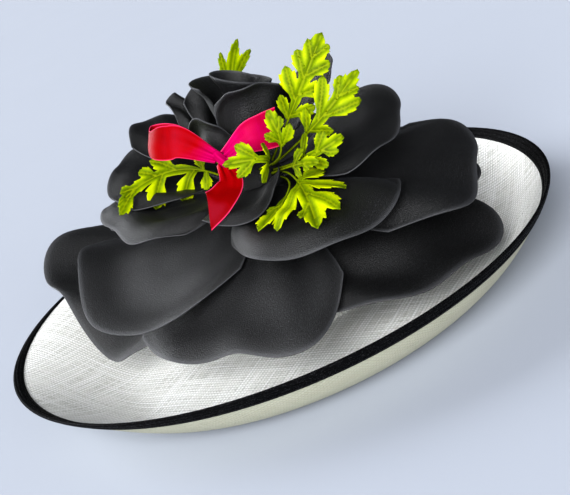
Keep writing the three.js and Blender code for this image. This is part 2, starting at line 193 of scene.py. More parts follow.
def flat_places(points):
    """Where each grid point lies on the flat cloth, from the distances along the grid's lines."""
    across = np.linalg.norm(np.diff(points, axis=1), axis=2)
    across = np.hstack([np.zeros((len(points), 1)), np.cumsum(across, axis=1)])
    across -= across[:, [across.shape[1] // 2]]
    along = np.linalg.norm(np.diff(points[:, points.shape[1] // 2], axis=0), axis=1)
    along = np.concatenate([[0], np.cumsum(along)])
    return np.stack([across, np.broadcast_to(along[:, None], across.shape)], -1)


def thicken(piece, thickness):
    """Gives a sheet its wall, half of it on each side."""
    wall = piece.modifiers.new("wall", "SOLIDIFY")
    wall.thickness = thickness * MM
    wall.offset = 0


def round_cut_edges(piece):
    rounding = piece.modifiers.new("cut edge", "BEVEL")
    rounding.width = CUT_EDGE_ROUNDING * MM
    rounding.segments = 2
    rounding.limit_method = "ANGLE"
    rounding.angle_limit = math.radians(60)


def cloth_sheet(name, node, points, material, thickness, shares=()):
    """One piece of cloth from a grid of points on its middle surface. It stands for a CAD node."""
    faces = quads_of_grid(*points.shape[:2])
    mesh = mesh_from(name, points, faces, flat_places(points), shares)
    piece = add_object(name, mesh, material)
    thicken(piece, thickness)
    round_cut_edges(piece)
    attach(piece, "root")
    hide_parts(node)


# Node trees, for materials and for shapes that repeat


class Wire:
    """A socket of a node tree. Operators on wires and numbers add Math nodes."""

    def __init__(self, tree, socket=None):
        self.tree = tree
        self.socket = socket

    def node(self, kind, settings=(), sockets=(), output=0):
        """Adds a node: its settings first, then the values or wires of its sockets. Gives back one output."""
        made = self.tree.nodes.new(kind)
        for key, value in dict(settings).items():
            if key == "stops":
                set_stops(made.color_ramp, value)
            else:
                setattr(made, key, value)
        for key, value in dict(sockets).items():
            if isinstance(value, Wire):
                self.tree.links.new(value.socket, made.inputs[key])
            else:
                made.inputs[key].default_value = value
        return Wire(self.tree, made.outputs[output])

    def maths(self, operation, *values):
        return self.node("ShaderNodeMath", {"operation": operation}, dict(enumerate(values)))

    def __add__(self, other):
        return self.maths("ADD", self, other)

    def __radd__(self, other):
        return self.maths("ADD", other, self)

    def __sub__(self, other):
        return self.maths("SUBTRACT", self, other)

    def __rsub__(self, other):
        return self.maths("SUBTRACT", other, self)

    def __mul__(self, other):
        return self.maths("MULTIPLY", self, other)

    def __rmul__(self, other):
        return self.maths("MULTIPLY", other, self)


def set_stops(ramp, stops):
    while len(ramp.elements) > len(stops):
        ramp.elements.remove(ramp.elements[-1])
    while len(ramp.elements) < len(stops):
        ramp.elements.new(1)
    for element, (position, colour) in zip(ramp.elements, stops):
        element.position = position
        element.color = colour


def grey(value):
    return (value, value, value, 1)


class Finish:
    """One material: the start of its node tree, and the few patterns that the hat's cloths share."""

    def __init__(self, name, constants):
        self.material = bpy.data.materials.new(name)
        self.material.use_nodes = True
        tree = self.material.node_tree
        tree.nodes.clear()
        self.start = Wire(tree)
        self.shader = tree.nodes.new("ShaderNodeBsdfPrincipled")
        end = tree.nodes.new("ShaderNodeOutputMaterial")
        tree.links.new(self.shader.outputs[0], end.inputs["Surface"])
        for socket, value in constants.items():
            self.shader.inputs[socket].default_value = value
        self.cloth = self.start.node("ShaderNodeUVMap", {"uv_map": "cloth"})
        self.place = self.start.node("ShaderNodeTexCoord", output="Object")

    def join(self, socket, wire):
        self.shader.id_data.links.new(wire.socket, self.shader.inputs[socket])

    def share(self, name):
        """A number that the mesh keeps at each vertex."""
        return self.start.node("ShaderNodeAttribute", {"attribute_name": name}, output="Fac")

    def scaled(self, vector, scale, turn=0.0):
        sockets = {"Vector": vector, "Rotation": (0, 0, turn), "Scale": scale}
        return self.start.node("ShaderNodeMapping", (), sockets)

    def noise(self, vector, scale, detail=2.0, roughness=0.5):
        sockets = {"Vector": vector, "Scale": scale, "Detail": detail, "Roughness": roughness}
        return self.start.node("ShaderNodeTexNoise", (), sockets)

    def blend(self, factor, one, other):
        """Between two colours."""
        sockets = {0: factor, 6: one, 7: other}
        return self.start.node("ShaderNodeMix", {"data_type": "RGBA"}, sockets, output=2)

    def tone(self, factor, stops):
        """A colour ramp."""
        return self.start.node("ShaderNodeValToRGB", {"stops": stops}, {"Fac": factor})

    def relief(self, height, distance, strength):
        """Small bumps in the way the surface takes light. distance is their height in metres."""
        sockets = {"Height": height, "Distance": distance, "Strength": strength}
        self.join("Normal", self.start.node("ShaderNodeBump", (), sockets))

    def coordinate(self, vector, axis):
        return self.start.node("ShaderNodeSeparateXYZ", (), {"Vector": vector}, output=axis)


# Finishes

# Sinamay: colours run from thin threads to thick ones
THREAD_PITCH = 4.0 * MM
WEAVE_TURN = math.radians(38)
THREAD_DRIFT = 0.012
THREAD_STRETCH = 330
SLUB_STRETCH = 9
IVORY_THREADS = [(0.4, (0.66, 0.66, 0.62, 1)), (0.55, (0.88, 0.88, 0.85, 1)), (0.7, (0.97, 0.97, 0.96, 1))]
WEAVE_GAP = (0.4, 0.4, 0.38, 1)
# Painted shade: the brim's underside is coloured darker and yellower
IVORY_UNDERSIDE_SHADE = (0.36, 0.355, 0.25, 1)

# Black braid and black petals
BRAID_BLACK = (0.0012, 0.0012, 0.0014, 1)
BRAID_GLINT = (0.05, 0.05, 0.055, 1)
PETAL_BLACK = (0.0002, 0.0002, 0.0004, 1)
PETAL_SPECKLE = (0.03, 0.031, 0.035, 1)
# Pale grey cut edge: the cut cloth's grey, with a painted rim highlight
PETAL_CUT_EDGE_AND_HIGHLIGHT = (0.08, 0.082, 0.09, 1)

# Leaves run from greens darkened as painted shade in their folds to lime, and the ribbon from deep red in
# painted shade to a painted hot pink sheen
LEAF_GREENS_AND_SHADE = [(0.25, (0.028, 0.05, 0, 1)), (0.5, (0.13, 0.19, 0, 1)), (0.85, (0.38, 0.45, 0, 1))]
LEAF_RIB = (0.42, 0.5, 0.002, 1)
# The ribbon's ramp runs from deep red as painted shade to hot pink as painted sheen
RIBBON_REDS_AND_SHEEN = [(0.1, (0.15, 0, 0, 1)), (0.45, (0.26, 0, 0.001, 1)), (0.9, (0.37, 0, 0.08, 1))]
# Paler pink edges: the ribbon's selvedge, with a painted highlight along it
RIBBON_SELVEDGE_AND_HIGHLIGHT = (0.9, 0.06, 0.2, 1)
RIBBON_SHEEN = (1, 0.2, 0.5, 1)


def sinamay_finish():
    """Ivory banana-fibre weave: fine threads that cross on the bias, each a little different."""
    finish = Finish("ivory sinamay", {"Specular IOR Level": 0.3})
    bias = finish.scaled(finish.cloth, (1, 1, 1), WEAVE_TURN)
    drift = (finish.noise(bias, scale=9) - 0.5) * THREAD_DRIFT
    gaps = []
    slubs = []
    for axis, stretch in enumerate(((THREAD_STRETCH, SLUB_STRETCH, 1), (SLUB_STRETCH, THREAD_STRETCH, 1))):
        across = (finish.coordinate(bias, axis) + drift) * (math.pi / THREAD_PITCH)
        between = 1 - across.maths("ABSOLUTE", across.maths("SINE", across))
        gaps.append(between * between)
        slubs.append(finish.noise(finish.scaled(bias, stretch), scale=1, detail=1))
    gap = gaps[0].maths("MAXIMUM", *gaps)
    slub = slubs[0].maths("MAXIMUM", *slubs)
    finish.relief(slub * 0.6 - gap, distance=0.9 * MM, strength=0.8)
    woven = finish.blend(gap * 0.68, finish.tone(slub, IVORY_THREADS), WEAVE_GAP)
    # Painted shade: the underside's colour is darkened and yellowed
    finish.join("Base Color", finish.blend(finish.share("underside") * 0.85, woven, IVORY_UNDERSIDE_SHADE))
    finish.join("Roughness", 0.5 + slub * 0.25)
    return finish.material


def braid_finish():
    """Black braid with a faint glitter in its yarn."""
    finish = Finish("black braid", {"Specular IOR Level": 0.04})
    yarn = finish.noise(finish.place, scale=2200, detail=2)
    shine = finish.tone(finish.noise(finish.place, scale=900, detail=0), [(0.62, grey(0)), (0.72, grey(1))])
    finish.join("Base Color", finish.blend(shine * 0.4, BRAID_BLACK, BRAID_GLINT))
    finish.join("Roughness", 0.6 - shine * 0.25)
    finish.relief(yarn, distance=0.2 * MM, strength=0.5)
    return finish.material


def petal_finish():
    """Black bonded satin: a fine speckled grain, cloudy highlights and paler cut edges, partly the cut cloth's
    grey and partly a painted rim highlight.
    """
    finish = Finish("black satin cloth", {"Specular IOR Level": 0.55})
    grain = finish.noise(finish.cloth, scale=680, detail=3, roughness=0.7)
    cloud = finish.noise(finish.place, scale=22, detail=3, roughness=0.55)
    speckle = finish.tone(grain, [(0.52, grey(0)), (0.68, grey(1))])
    dark = finish.blend(speckle, PETAL_BLACK, PETAL_SPECKLE)
    # The paler edge is partly the cut cloth and partly a painted rim highlight
    finish.join("Base Color", finish.blend(finish.share("edge") * 0.4, dark, PETAL_CUT_EDGE_AND_HIGHLIGHT))
    finish.join("Roughness", 0.5 - speckle * 0.16 + cloud * 0.1)
    finish.relief(grain + cloud * 0.3, distance=1.1 * MM, strength=0.8)
    return finish.material


def leaf_finish():
    """Lime green pressed cloth with pale ribs, and painted shade: darker greens along the ribs, where the
    cloth sinks.
    """
    finish = Finish("lime green leaf", {"Specular IOR Level": 0.05})
    mottle = finish.noise(finish.place, scale=60, detail=4, roughness=0.6)
    rib = finish.share("rib")
    # Painted shade: the greens darken near the ribs, where the cloth sinks into creases
    green = finish.tone(mottle * 0.5 + finish.share("depth") * 0.6, LEAF_GREENS_AND_SHADE)
    finish.join("Base Color", finish.blend(rib * 0.4, green, LEAF_RIB))
    finish.join("Roughness", 0.42 + mottle * 0.25)
    crease = finish.noise(finish.scaled(finish.cloth, (1, 3, 1)), scale=260, detail=3)
    finish.relief(crease + rib * 0.8, distance=0.5 * MM, strength=0.5)
    return finish.material


def ribbon_finish():
    """Satin: deep red in its painted shade, and a painted hot pink sheen, strongest near the knot."""
    finish = Finish("pink satin", {"Specular IOR Level": 0.1, "Specular Tint": RIBBON_SHEEN})
    yarn = finish.noise(finish.scaled(finish.cloth, (30, 900, 1)), scale=1, detail=2)
    cloud = finish.noise(finish.place, scale=45, detail=2)
    # Painted sheen and shade: more blush moves the colour from deep red to hot pink
    colour = finish.tone(finish.share("blush") + (cloud - 0.5) * 0.5 + (yarn - 0.5) * 0.15, RIBBON_REDS_AND_SHEEN)
    # The edges are paler: the selvedge, with a painted highlight along it
    finish.join("Base Color", finish.blend(finish.share("edge") * 0.6, colour, RIBBON_SELVEDGE_AND_HIGHLIGHT))
    finish.join("Roughness", 0.34 + yarn * 0.16)
    finish.relief(yarn, distance=0.15 * MM, strength=0.25)
    return finish.material


# Brim

HAT_STEPS = 320
CROWN_STEPS = 160


def brim_curve(angle):
    blend = ((1 - np.cos(angle - UPTURN_SIDE)) / 2) ** UPTURN_SPREAD
    start = mix(UPTURN_START, ROLLOVER_START, blend)
    slope = np.tan(np.radians(mix(UPTURN_SLOPE, ROLLOVER_SLOPE, blend)))
    return start, slope, BRIM_RADIUS - start


def brim_rise(slope, run, t):
    return RIM_HEIGHT * (3 * t**2 - 2 * t**3) + slope * run * (t**3 - t**2)


def on_ray(angle, radius, height):
    return np.stack([radius * np.cos(angle), radius * np.sin(angle), height + 0 * angle], -1)


def on_head_oval(angle, offset, height):
    along = (HEAD_LENGTH / 2 + offset) * np.cos(angle)
    across = (HEAD_WIDTH / 2 + offset) * np.sin(angle)
    return np.stack([along, across, height + 0 * angle], -1)


def brim_point(angle, t, lift):
    """A point at a share t of the brim's rise, lifted off its underside along the cloth's normal."""
    start, slope, run = brim_curve(angle)
    step = 0.01
    grade = (brim_rise(slope, run, t + step) - brim_rise(slope, run, t - step)) / (2 * step * run)
    rising = np.asarray(t) > 0
    tilt = np.where(rising, np.arctan(grade), 0)
    height = np.where(rising, brim_rise(slope, run, t), 0)
    return on_ray(angle, start + t * run - lift * np.sin(tilt), height + lift * np.cos(tilt))


def brim_face(angle, lift):
    """Rings of points from the collar's top, round its bend, over the flat and up to the edge."""
    rings = [on_head_oval(angle, lift, height) for height in np.linspace(COLLAR_HEIGHT, COLLAR_BEND, 4)[:-1]]
    for turn in np.linspace(0, math.pi / 2, 6):
        reach = COLLAR_BEND - (COLLAR_BEND - lift) * math.cos(turn)
        rings.append(on_head_oval(angle, reach, COLLAR_BEND - (COLLAR_BEND - lift) * math.sin(turn)))
    flat_start = rings[-1]
    flat_end = brim_point(angle, 0, lift)
    rings += [mix(flat_start, flat_end, share) for share in np.linspace(0, 1, 8)[1:]]
    rings += [brim_point(angle, t, lift) for t in np.linspace(0, 1, 27)[1:]]
    return np.stack(rings)


def unrolled(rings, angle):
    """Flat cloth places for rings about the hat's axis: each ring at its distance along the cloth."""
    steps = np.linalg.norm(np.diff(rings, axis=0), axis=2)
    inner = np.linalg.norm(rings[0, :, :2], axis=1)
    out = inner + np.vstack([np.zeros(len(angle)), np.cumsum(steps, axis=0)])
    return np.stack([out * np.cos(angle), out * np.sin(angle)], -1)


def ring_mesh(name, rings, flat, closed_section=False, closed_ends=False, shares=()):
    """A mesh of rings: the first axis runs along its section, the second round the hat or the piece."""
    points, places = (np.concatenate([grid, grid[:, :1]], axis=1) for grid in (rings, flat))
    faces = quads_of_grid(*points.shape[:2], closed_rows=closed_section)
    mesh = mesh_from(name, points, faces, places, shares)
    merge_and_face_out(mesh, closed_ends)
    return mesh


def merge_and_face_out(mesh, closed_ends=False):
    work = bmesh.new()
    work.from_mesh(mesh)
    bmesh.ops.remove_doubles(work, verts=work.verts, dist=MERGE_DISTANCE)
    if closed_ends:
        bmesh.ops.holes_fill(work, edges=work.edges, sides=0)
    bmesh.ops.recalc_face_normals(work, faces=work.faces)
    work.to_mesh(mesh)
    work.free()


def even_angles(count):
    return np.linspace(0, 2 * math.pi, count, endpoint=False)


def finished(piece, node):
    """A shaped piece that rides on the hat and stands for a CAD node."""
    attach(piece, "root")
    if node:
        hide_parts(node)
    return piece


def make_brim(material):
    angle = even_angles(HAT_STEPS)
    under = brim_face(angle, 0)
    over = brim_face(angle, SINAMAY_THICKNESS)
    rings = np.concatenate([under, over[::-1]])
    flat = np.concatenate([unrolled(under, angle), unrolled(over, angle)[::-1]])
    # The underside's rings get the painted shade, the upper face none
    painted_shade_side = np.repeat([1.0, 0.0], len(under) * (len(angle) + 1))
    mesh = ring_mesh("brim_weave", rings, flat, closed_section=True, shares={"underside": painted_shade_side})
    finished(add_object("brim_weave", mesh, material), "brim")


def crown_face(angle, offset, top):
    """Rings from the foot of the crown up over its dome."""
    spring = CROWN_FOOT + COLLAR_HEIGHT
    mean_radius = (HEAD_LENGTH + HEAD_WIDTH) / 4
    radius = mean_radius + offset
    stretch = np.array([HEAD_LENGTH / 2 / mean_radius, HEAD_WIDTH / 2 / mean_radius, 1])
    rings = [on_ray(angle, radius, height) for height in np.linspace(CROWN_FOOT, spring, 5)[:-1]]
    for turn in np.linspace(0, math.pi / 2, 26):
        out = math.cos(turn) ** (2 / CROWN_SQUARENESS)
        up = math.sin(turn) ** (2 / CROWN_SQUARENESS)
        rings.append(on_ray(angle, radius * out, mix(spring, top, up)))
    return np.stack(rings) * stretch


def make_crown(material):
    angle = even_angles(CROWN_STEPS)
    inside = SINAMAY_THICKNESS + SEAM_GAP
    inner = crown_face(angle, inside, CROWN_HEIGHT - SINAMAY_THICKNESS)
    outer = crown_face(angle, inside + SINAMAY_THICKNESS, CROWN_HEIGHT)
    rings = np.concatenate([inner[::-1], outer])
    flat = np.concatenate([unrolled(inner[::-1], angle), unrolled(outer[::-1], angle)[::-1]])
    mesh = ring_mesh("crown_weave", rings, flat)
    finished(add_object("crown_weave", mesh, material), "crown")


# Edge binding

BRAID_PITCH = 2.7
BRAID_STITCH = (4.0, 1.7, 0.8)
BRAID_SLANT = math.radians(34)
BRAID_SEED = 7
# Columns: how far in from the edge a row of the braid lies, which face it is on (0 is the fold itself),
# and which way it slants.
BRAID_ROWS = rows(
    ["inset", "face", "slant"],
    [[2.0, 1, 1], [5.5, 1, -1], [2.0, -1, -1], [5.5, -1, 1], [0, 0, 0]],
)


def binding_skin(angle):
    """Rings round the folded band: up its outer skin from the underside and back along its inner one."""
    _, _, run = brim_curve(angle)
    middle = SINAMAY_THICKNESS / 2
    insets = np.linspace(0, BINDING_WIDTH, 6)
    layers = []
    for reach in (middle + BINDING_SLACK + BINDING_THICKNESS, middle + BINDING_SLACK):
        layer = [brim_point(angle, 1 - inset / run, middle - reach) for inset in insets[::-1]]
        for turn in np.linspace(-math.pi / 2, math.pi / 2, 9)[1:-1]:
            layer.append(brim_point(angle, 1 + reach * math.cos(turn) / run, middle + reach * math.sin(turn)))
        layer += [brim_point(angle, 1 - inset / run, middle + reach) for inset in insets]
        layers.append(np.stack(layer))
    return np.concatenate([layers[0], layers[1][::-1]])


def braid_points():
    """One vertex a stitch, with the way the braid runs, the way it faces and its slant."""
    angle = even_angles(round(2 * math.pi * BRIM_RADIUS / BRAID_PITCH))
    _, _, run = brim_curve(angle)
    middle = SINAMAY_THICKNESS / 2
    reach = middle + BINDING_SLACK + BINDING_THICKNESS
    places, ways, outs, slants = [], [], [], []
    for row in BRAID_ROWS:
        lift = middle + row["face"] * reach
        if row["face"]:
            t = 1 - row["inset"] / run
            inward = brim_point(angle, t, lift - row["face"])
        else:
            t = 1 + reach / run
            inward = brim_point(angle, t - 1 / run, lift)
        place = brim_point(angle, t, lift)
        places.append(place)
        ways.append(np.roll(place, -1, axis=0) - place)
        outs.append(place - inward)
        slants.append(np.full(len(angle), row["slant"] * BRAID_SLANT))
    mesh = bpy.data.meshes.new("braid_stitches")
    mesh.from_pydata((np.concatenate(places) * MM).tolist(), [], [])
    for name, kind, values in (
        ("way", "FLOAT_VECTOR", np.concatenate(ways)),
        ("out", "FLOAT_VECTOR", np.concatenate(outs)),
        ("slant", "FLOAT", np.concatenate(slants)),
    ):
        key = "value" if kind == "FLOAT" else "vector"
        mesh.attributes.new(name, kind, "POINT").data.foreach_set(key, values.astype(np.float32).ravel())
    return mesh


def braid_tree(material):
    """Puts one slanted stitch on each point. Its inputs are the stitch's sizes in metres and a seed."""
    tree = bpy.data.node_groups.new("braid of stitches", "GeometryNodeTree")
    tree.interface.new_socket("Geometry", in_out="INPUT", socket_type="NodeSocketGeometry")
    for name in ("Length", "Width", "Height"):
        tree.interface.new_socket(name, in_out="INPUT", socket_type="NodeSocketFloat")
    tree.interface.new_socket("Seed", in_out="INPUT", socket_type="NodeSocketInt")
    tree.interface.new_socket("Geometry", in_out="OUTPUT", socket_type="NodeSocketGeometry")
    given = tree.nodes.new("NodeGroupInput")
    start = Wire(tree)
    entry = {socket.name: Wire(tree, socket) for socket in given.outputs}

    def kept(name, kind):
        return start.node("GeometryNodeInputNamedAttribute", {"data_type": kind}, {"Name": name})

    size = start.node(
        "ShaderNodeCombineXYZ",
        (),
        {"X": entry["Length"] * 0.5, "Y": entry["Width"] * 0.5, "Z": entry["Height"] * 0.5},
    )
    ball = start.node("GeometryNodeMeshUVSphere", (), {"Segments": 7, "Rings": 4, "Radius": 1.0})
    stitch = start.node("GeometryNodeTransform", (), {"Geometry": ball, "Scale": size})
    facing = start.node(
        "FunctionNodeAlignRotationToVector", {"axis": "Z"}, {"Vector": kept("out", "FLOAT_VECTOR")}
    )
    running = start.node(
        "FunctionNodeAlignRotationToVector",
        {"axis": "X", "pivot_axis": "Z"},
        {"Rotation": facing, "Vector": kept("way", "FLOAT_VECTOR")},
    )
    turn = start.node(
        "FunctionNodeAxisAngleToRotation", (), {"Axis": (0, 0, 1), "Angle": kept("slant", "FLOAT")}
    )
    slanted = start.node(
        "FunctionNodeRotateRotation", {"rotation_space": "LOCAL"}, {"Rotation": running, "Rotate By": turn}
    )
    uneven = start.node(
        "FunctionNodeRandomValue", {"data_type": "FLOAT"}, {2: 0.88, 3: 1.1, "Seed": entry["Seed"]}, output=1
    )
    laid = start.node(
        "GeometryNodeInstanceOnPoints",
        (),
        {"Points": entry["Geometry"], "Instance": stitch, "Rotation": slanted, "Scale": uneven},
    )
    real = start.node("GeometryNodeRealizeInstances", (), {"Geometry": laid})
    smooth = start.node("GeometryNodeSetShadeSmooth", (), {"Geometry": real})
    painted = start.node("GeometryNodeSetMaterial", (), {"Geometry": smooth, "Material": material})
    end = tree.nodes.new("NodeGroupOutput")
    tree.links.new(painted.socket, end.inputs[0])
    return tree


def grown(name, mesh, tree, inputs):
    """The plain mesh that a geometry tree makes of a mesh, with the tree's named inputs set."""
    source = bpy.data.objects.new(name + "_source", mesh)
    bpy.context.scene.collection.objects.link(source)
    growth = source.modifiers.new("growth", "NODES")
    growth.node_group = tree
    for socket in tree.interface.items_tree:
        if socket.in_out == "INPUT" and socket.name in inputs:
            growth[socket.identifier] = inputs[socket.name]
    depsgraph = bpy.context.evaluated_depsgraph_get()
    made = bpy.data.meshes.new_from_object(source.evaluated_get(depsgraph), depsgraph=depsgraph)
    bpy.data.objects.remove(source)
    made.name = name
    piece = bpy.data.objects.new(name, made)
    bpy.context.scene.collection.objects.link(piece)
    return piece


def make_binding(material):
    angle = even_angles(HAT_STEPS)
    skin = binding_skin(angle)
    mesh = ring_mesh("binding_band", skin, unrolled(skin, angle), closed_section=True)
    finished(add_object("binding_band", mesh, material), "edge_binding")
    length, width, height = (size * MM for size in BRAID_STITCH)
    inputs = {"Length": length, "Width": width, "Height": height, "Seed": BRAID_SEED}
    finished(grown("binding_braid", braid_points(), braid_tree(material), inputs), None)


# Flower

LOWEST_LIFT = -25
FULL_LEAN = 18
ROOT_REACH = HEART_RADIUS + SEAM_GAP
ROOT_WIDTH = 0.55
LIP_START = 0.55
LIP_CORNER = 4
TURN_CORNER = 8
CORNER_ROUNDING = 0.3
TURNED_LIP = 0.14
EDGE_WANDER = 2.2
EDGE_RUFFLE = 1.8

# Columns: root is the lift at the heart. reach and lift are the free edge's at five even places across the
# petal, from its clockwise side to its anticlockwise side. roll is how far the cloth humps up before its
# lip rolls down, or below zero sinks before its lip flares out, ruffle the height of the edge's waves and
# waves their number. Angles are in degrees. droop is how far, in millimetres, the very edge turns down.
PETAL_COLUMNS = ["name", "azimuth", "spread", "root", "reach", "lift", "roll", "ruffle", "waves", "droop"]
PETALS = rows(PETAL_COLUMNS, [
    ["petal_low_back_left", 172, 38, -24, [262, 286, 243, 234, 190], [-4, -6, -14, -27, -28], -2, 1.2, 3, 1.5],
    ["petal_low_right", -48, 40, -26, [220, 233, 251, 264, 224], [-25, -26, -26, -26, -23], -2.5, 0.8, 3, 2],
    ["petal_front", -114, 42, -20, [213, 219, 220, 245, 192], [-24, -24, -24, -23, -22], -1.3, 0.5, 4, 2.5],
    ["petal_left", -159, 53, -17, [216, 206, 220, 190, 134], [-6, -6, -16, -18, -18], -1.2, 0.8, 3, 1],
    ["petal_right_under", 0, 32, -18, [222, 236, 242, 238, 212], [-18, -18, -18, -18, -17], -1.5, 0.8, 3, 2],
    ["petal_right", -20, 42, -12, [205, 242, 233, 237, 210], [-13, -12, -10, -6, -3], 2.5, 1.0, 3, 5],
    ["petal_back", 92, 42, -20, [220, 240, 246, 240, 220], [-19, -18, -17, -16, -15], 2, 1.2, 4, 2],
    ["petal_back_left", 125, 34, -10, [188, 203, 210, 206, 188], [-1, -1, -2, -3, -4], 1.5, 0.8, 3, 2],
    ["petal_back_right", 48, 32, -12, [205, 222, 228, 222, 205], [-10, -10, -10, -10, -9], 1.5, 0.8, 3, 2],
    ["petal_front_rolled", -76, 40, -7, [112, 169, 195, 196, 184], [-7, -7, -7, -6, -3], 2.5, 1.0, 3, 9],
    ["petal_left_folded", -175, 38, 0, [165, 168, 152, 140, 108], [5, 5, 4, 0, 0], 3, 0.8, 3, 8],
    ["petal_back_inner", 62, 36, 0, [160, 180, 188, 180, 160], [4, 4, 4, 4, 4], 2, 1.2, 3, 2.5],
    ["petal_left_inner", 155, 32, 8, [150, 163, 158, 152, 130], [17, 17, 15, 10, 8], 2, 1.0, 3, 2],
    ["petal_back_left_inner", 118, 28, 14, [145, 158, 165, 170, 155], [24, 24, 24, 24, 24], 2, 1.0, 3, 2],
    ["petal_right_cup", -8, 42, 3, [130, 155, 168, 184, 162], [4, 5, 7, 14, 18], 2.5, 0.8, 3, 3.5],
    ["petal_inner_front", -95, 38, 3, [98, 110, 108, 74, 56], [0, -1, -1, 10, 26], 2, 0.5, 2, 2],
    ["petal_top_back", 28, 22, 34, [140, 156, 162, 160, 140], [38, 40, 40, 38, 36], 2, 1.0, 3, 2],
    ["petal_top_left", 130, 22, 42, [90, 116, 130, 124, 96], [46, 46, 46, 46, 46], 3, 1.5, 3, 2],
    ["bud_petal_left", -140, 40, 44, [72, 95, 104, 92, 70], [50, 54, 56, 56, 54], 2, 1.0, 2, 4],
    ["bud_petal_back", 100, 62, 55, [108, 118, 122, 120, 112], [60, 62, 62, 62, 60], 1.5, 1.0, 4, 6],
    ["bud_petal_front", -70, 54, 55, [112, 126, 128, 120, 104], [64, 63, 62, 60, 58], 1.5, 0.8, 3, 6],
])
WRINKLE_HEIGHT = 2.5
PALE_EDGE = 0.965
PETAL_ACROSS = 56
PETAL_ALONG = 36
# Where each kind of wave starts its count of seeds, so that no two pieces share one
WANDER_SEED = 130
UNEVEN_SEED = 60
FINE_SEED = 160
CURL_SEED = 40
RIBBON_SEED = 90


def flower_point(reach, azimuth, lift):
    """Polar coordinates about the heart. The axis leans forward more for the higher, inner petals."""
    lean = np.radians(FULL_LEAN * (lift - LOWEST_LIFT) / (90 - LOWEST_LIFT))
    flat = reach * np.cos(np.radians(lift))
    x = flat * np.cos(np.radians(azimuth))
    y = flat * np.sin(np.radians(azimuth))
    z = reach * np.sin(np.radians(lift))
    leaned = np.stack([x * np.cos(lean) + z * np.sin(lean), y, z * np.cos(lean) - x * np.sin(lean)], -1)
    return leaned + HEART


def near_edge(u, v):
    return np.minimum((np.abs(u) ** LIP_CORNER + v**LIP_CORNER) ** (1 / LIP_CORNER), 1)


def rounded_place(u, v):
    """Draws the places near a petal's outer corners in, which rounds the corners."""
    rounded_u = u * np.sqrt(1 - CORNER_ROUNDING * v**LIP_CORNER / 2)
    rounded_v = v * np.sqrt(1 - CORNER_ROUNDING * u**LIP_CORNER / 2)
    return rounded_u, rounded_v


def petal_points(petal, seed):
    """A petal's middle surface on a grid, u across and v from its root to its edge, and its pale edge."""
    across, along = np.linspace(-1, 1, PETAL_ACROSS + 1), np.linspace(0, 1, PETAL_ALONG + 1)
    square_u, square_v = np.meshgrid(across, along)
    u, v = rounded_place(square_u, square_v)
    off_root = smoothstep(v, 0.1, 0.45)
    to_edge = np.maximum(np.abs(square_u) * off_root, square_v)
    width = mix(ROOT_WIDTH, 1, smoothstep(v, 0, 0.5))
    lip = np.maximum((near_edge(u, v) - LIP_START) / (1 - LIP_START), 0)
    lip_share = np.sin(math.pi * lip) ** 2 * smoothstep(v, 0.2, 0.6)
    ruffle = petal["ruffle"] * np.cos(math.pi * petal["waves"] * u) * v**2
    lift = mix(petal["root"], through_five(petal["lift"], u), v**1.3)
    wander = EDGE_WANDER * waves(3.2 * u, 0 * v, WANDER_SEED + seed)
    points = flower_point(
        mix(ROOT_REACH, through_five(petal["reach"], u) + wander, v),
        petal["azimuth"] + u * petal["spread"] * width,
        lift + petal["roll"] * lip_share + ruffle,
    )
    wrinkle = WRINKLE_HEIGHT * waves(2.2 * u, 2.2 * v, seed) * smoothstep(v, 0.15, 0.55)
    corner = (np.abs(square_u) ** TURN_CORNER * off_root + square_v**TURN_CORNER) ** (1 / TURN_CORNER)
    turned = np.clip((corner - (1 - TURNED_LIP)) / TURNED_LIP, 0, 1) ** 2
    unevenness = 0.75 + 0.25 * waves(3 * u, 3 * v, UNEVEN_SEED + seed)
    fine = EDGE_RUFFLE * waves(3.5 * u, 2 * v, FINE_SEED + seed) * smoothstep(to_edge, 0.7, 1)
    moved = wrinkle + petal["droop"] * turned * unevenness + fine
    return points + normals_of_grid(points) * moved[..., None], smoothstep(to_edge, PALE_EDGE, 1)


def petal_cloth(name, node, points, edge, material):
    shares = {"edge": edge}
    cloth_sheet(name, node, points, material, PETAL_THICKNESS, shares)


def make_petals(material):
    for seed, petal in enumerate(PETALS):
        points, edge = petal_points(petal, seed)
        petal_cloth(petal["name"] + "_cloth", petal["name"], points, edge, material)


BUD_TURNS = 1.6
BUD_REACH = 116
BUD_WAVE = 6
BUD_INNER_LIFT = 84
BUD_OUTER_LIFT = 69
BUD_LIP = 3
BUD_ACROSS = 150
BUD_ALONG = 30


def make_bud(material):
    """The rolled heart of the bud: one petal wound more than once round itself."""
    across, v = np.meshgrid(np.linspace(0, 1, BUD_ACROSS), np.linspace(0, 1, BUD_ALONG))
    turned = across * BUD_TURNS * 2 * math.pi
    points = flower_point(
        mix(ROOT_REACH, BUD_REACH - BUD_WAVE * np.cos(turned), v),
        np.degrees(turned),
        mix(BUD_INNER_LIFT, BUD_OUTER_LIFT, across) - BUD_LIP * smoothstep(v, 0.75, 1),
    )
    petal_cloth("bud_roll", "bud_core", points, smoothstep(v, 0.975, 1), material)


HEART_STEPS = 112
HEART_TUCKS = 14
TUCK_DEPTH = 0.035


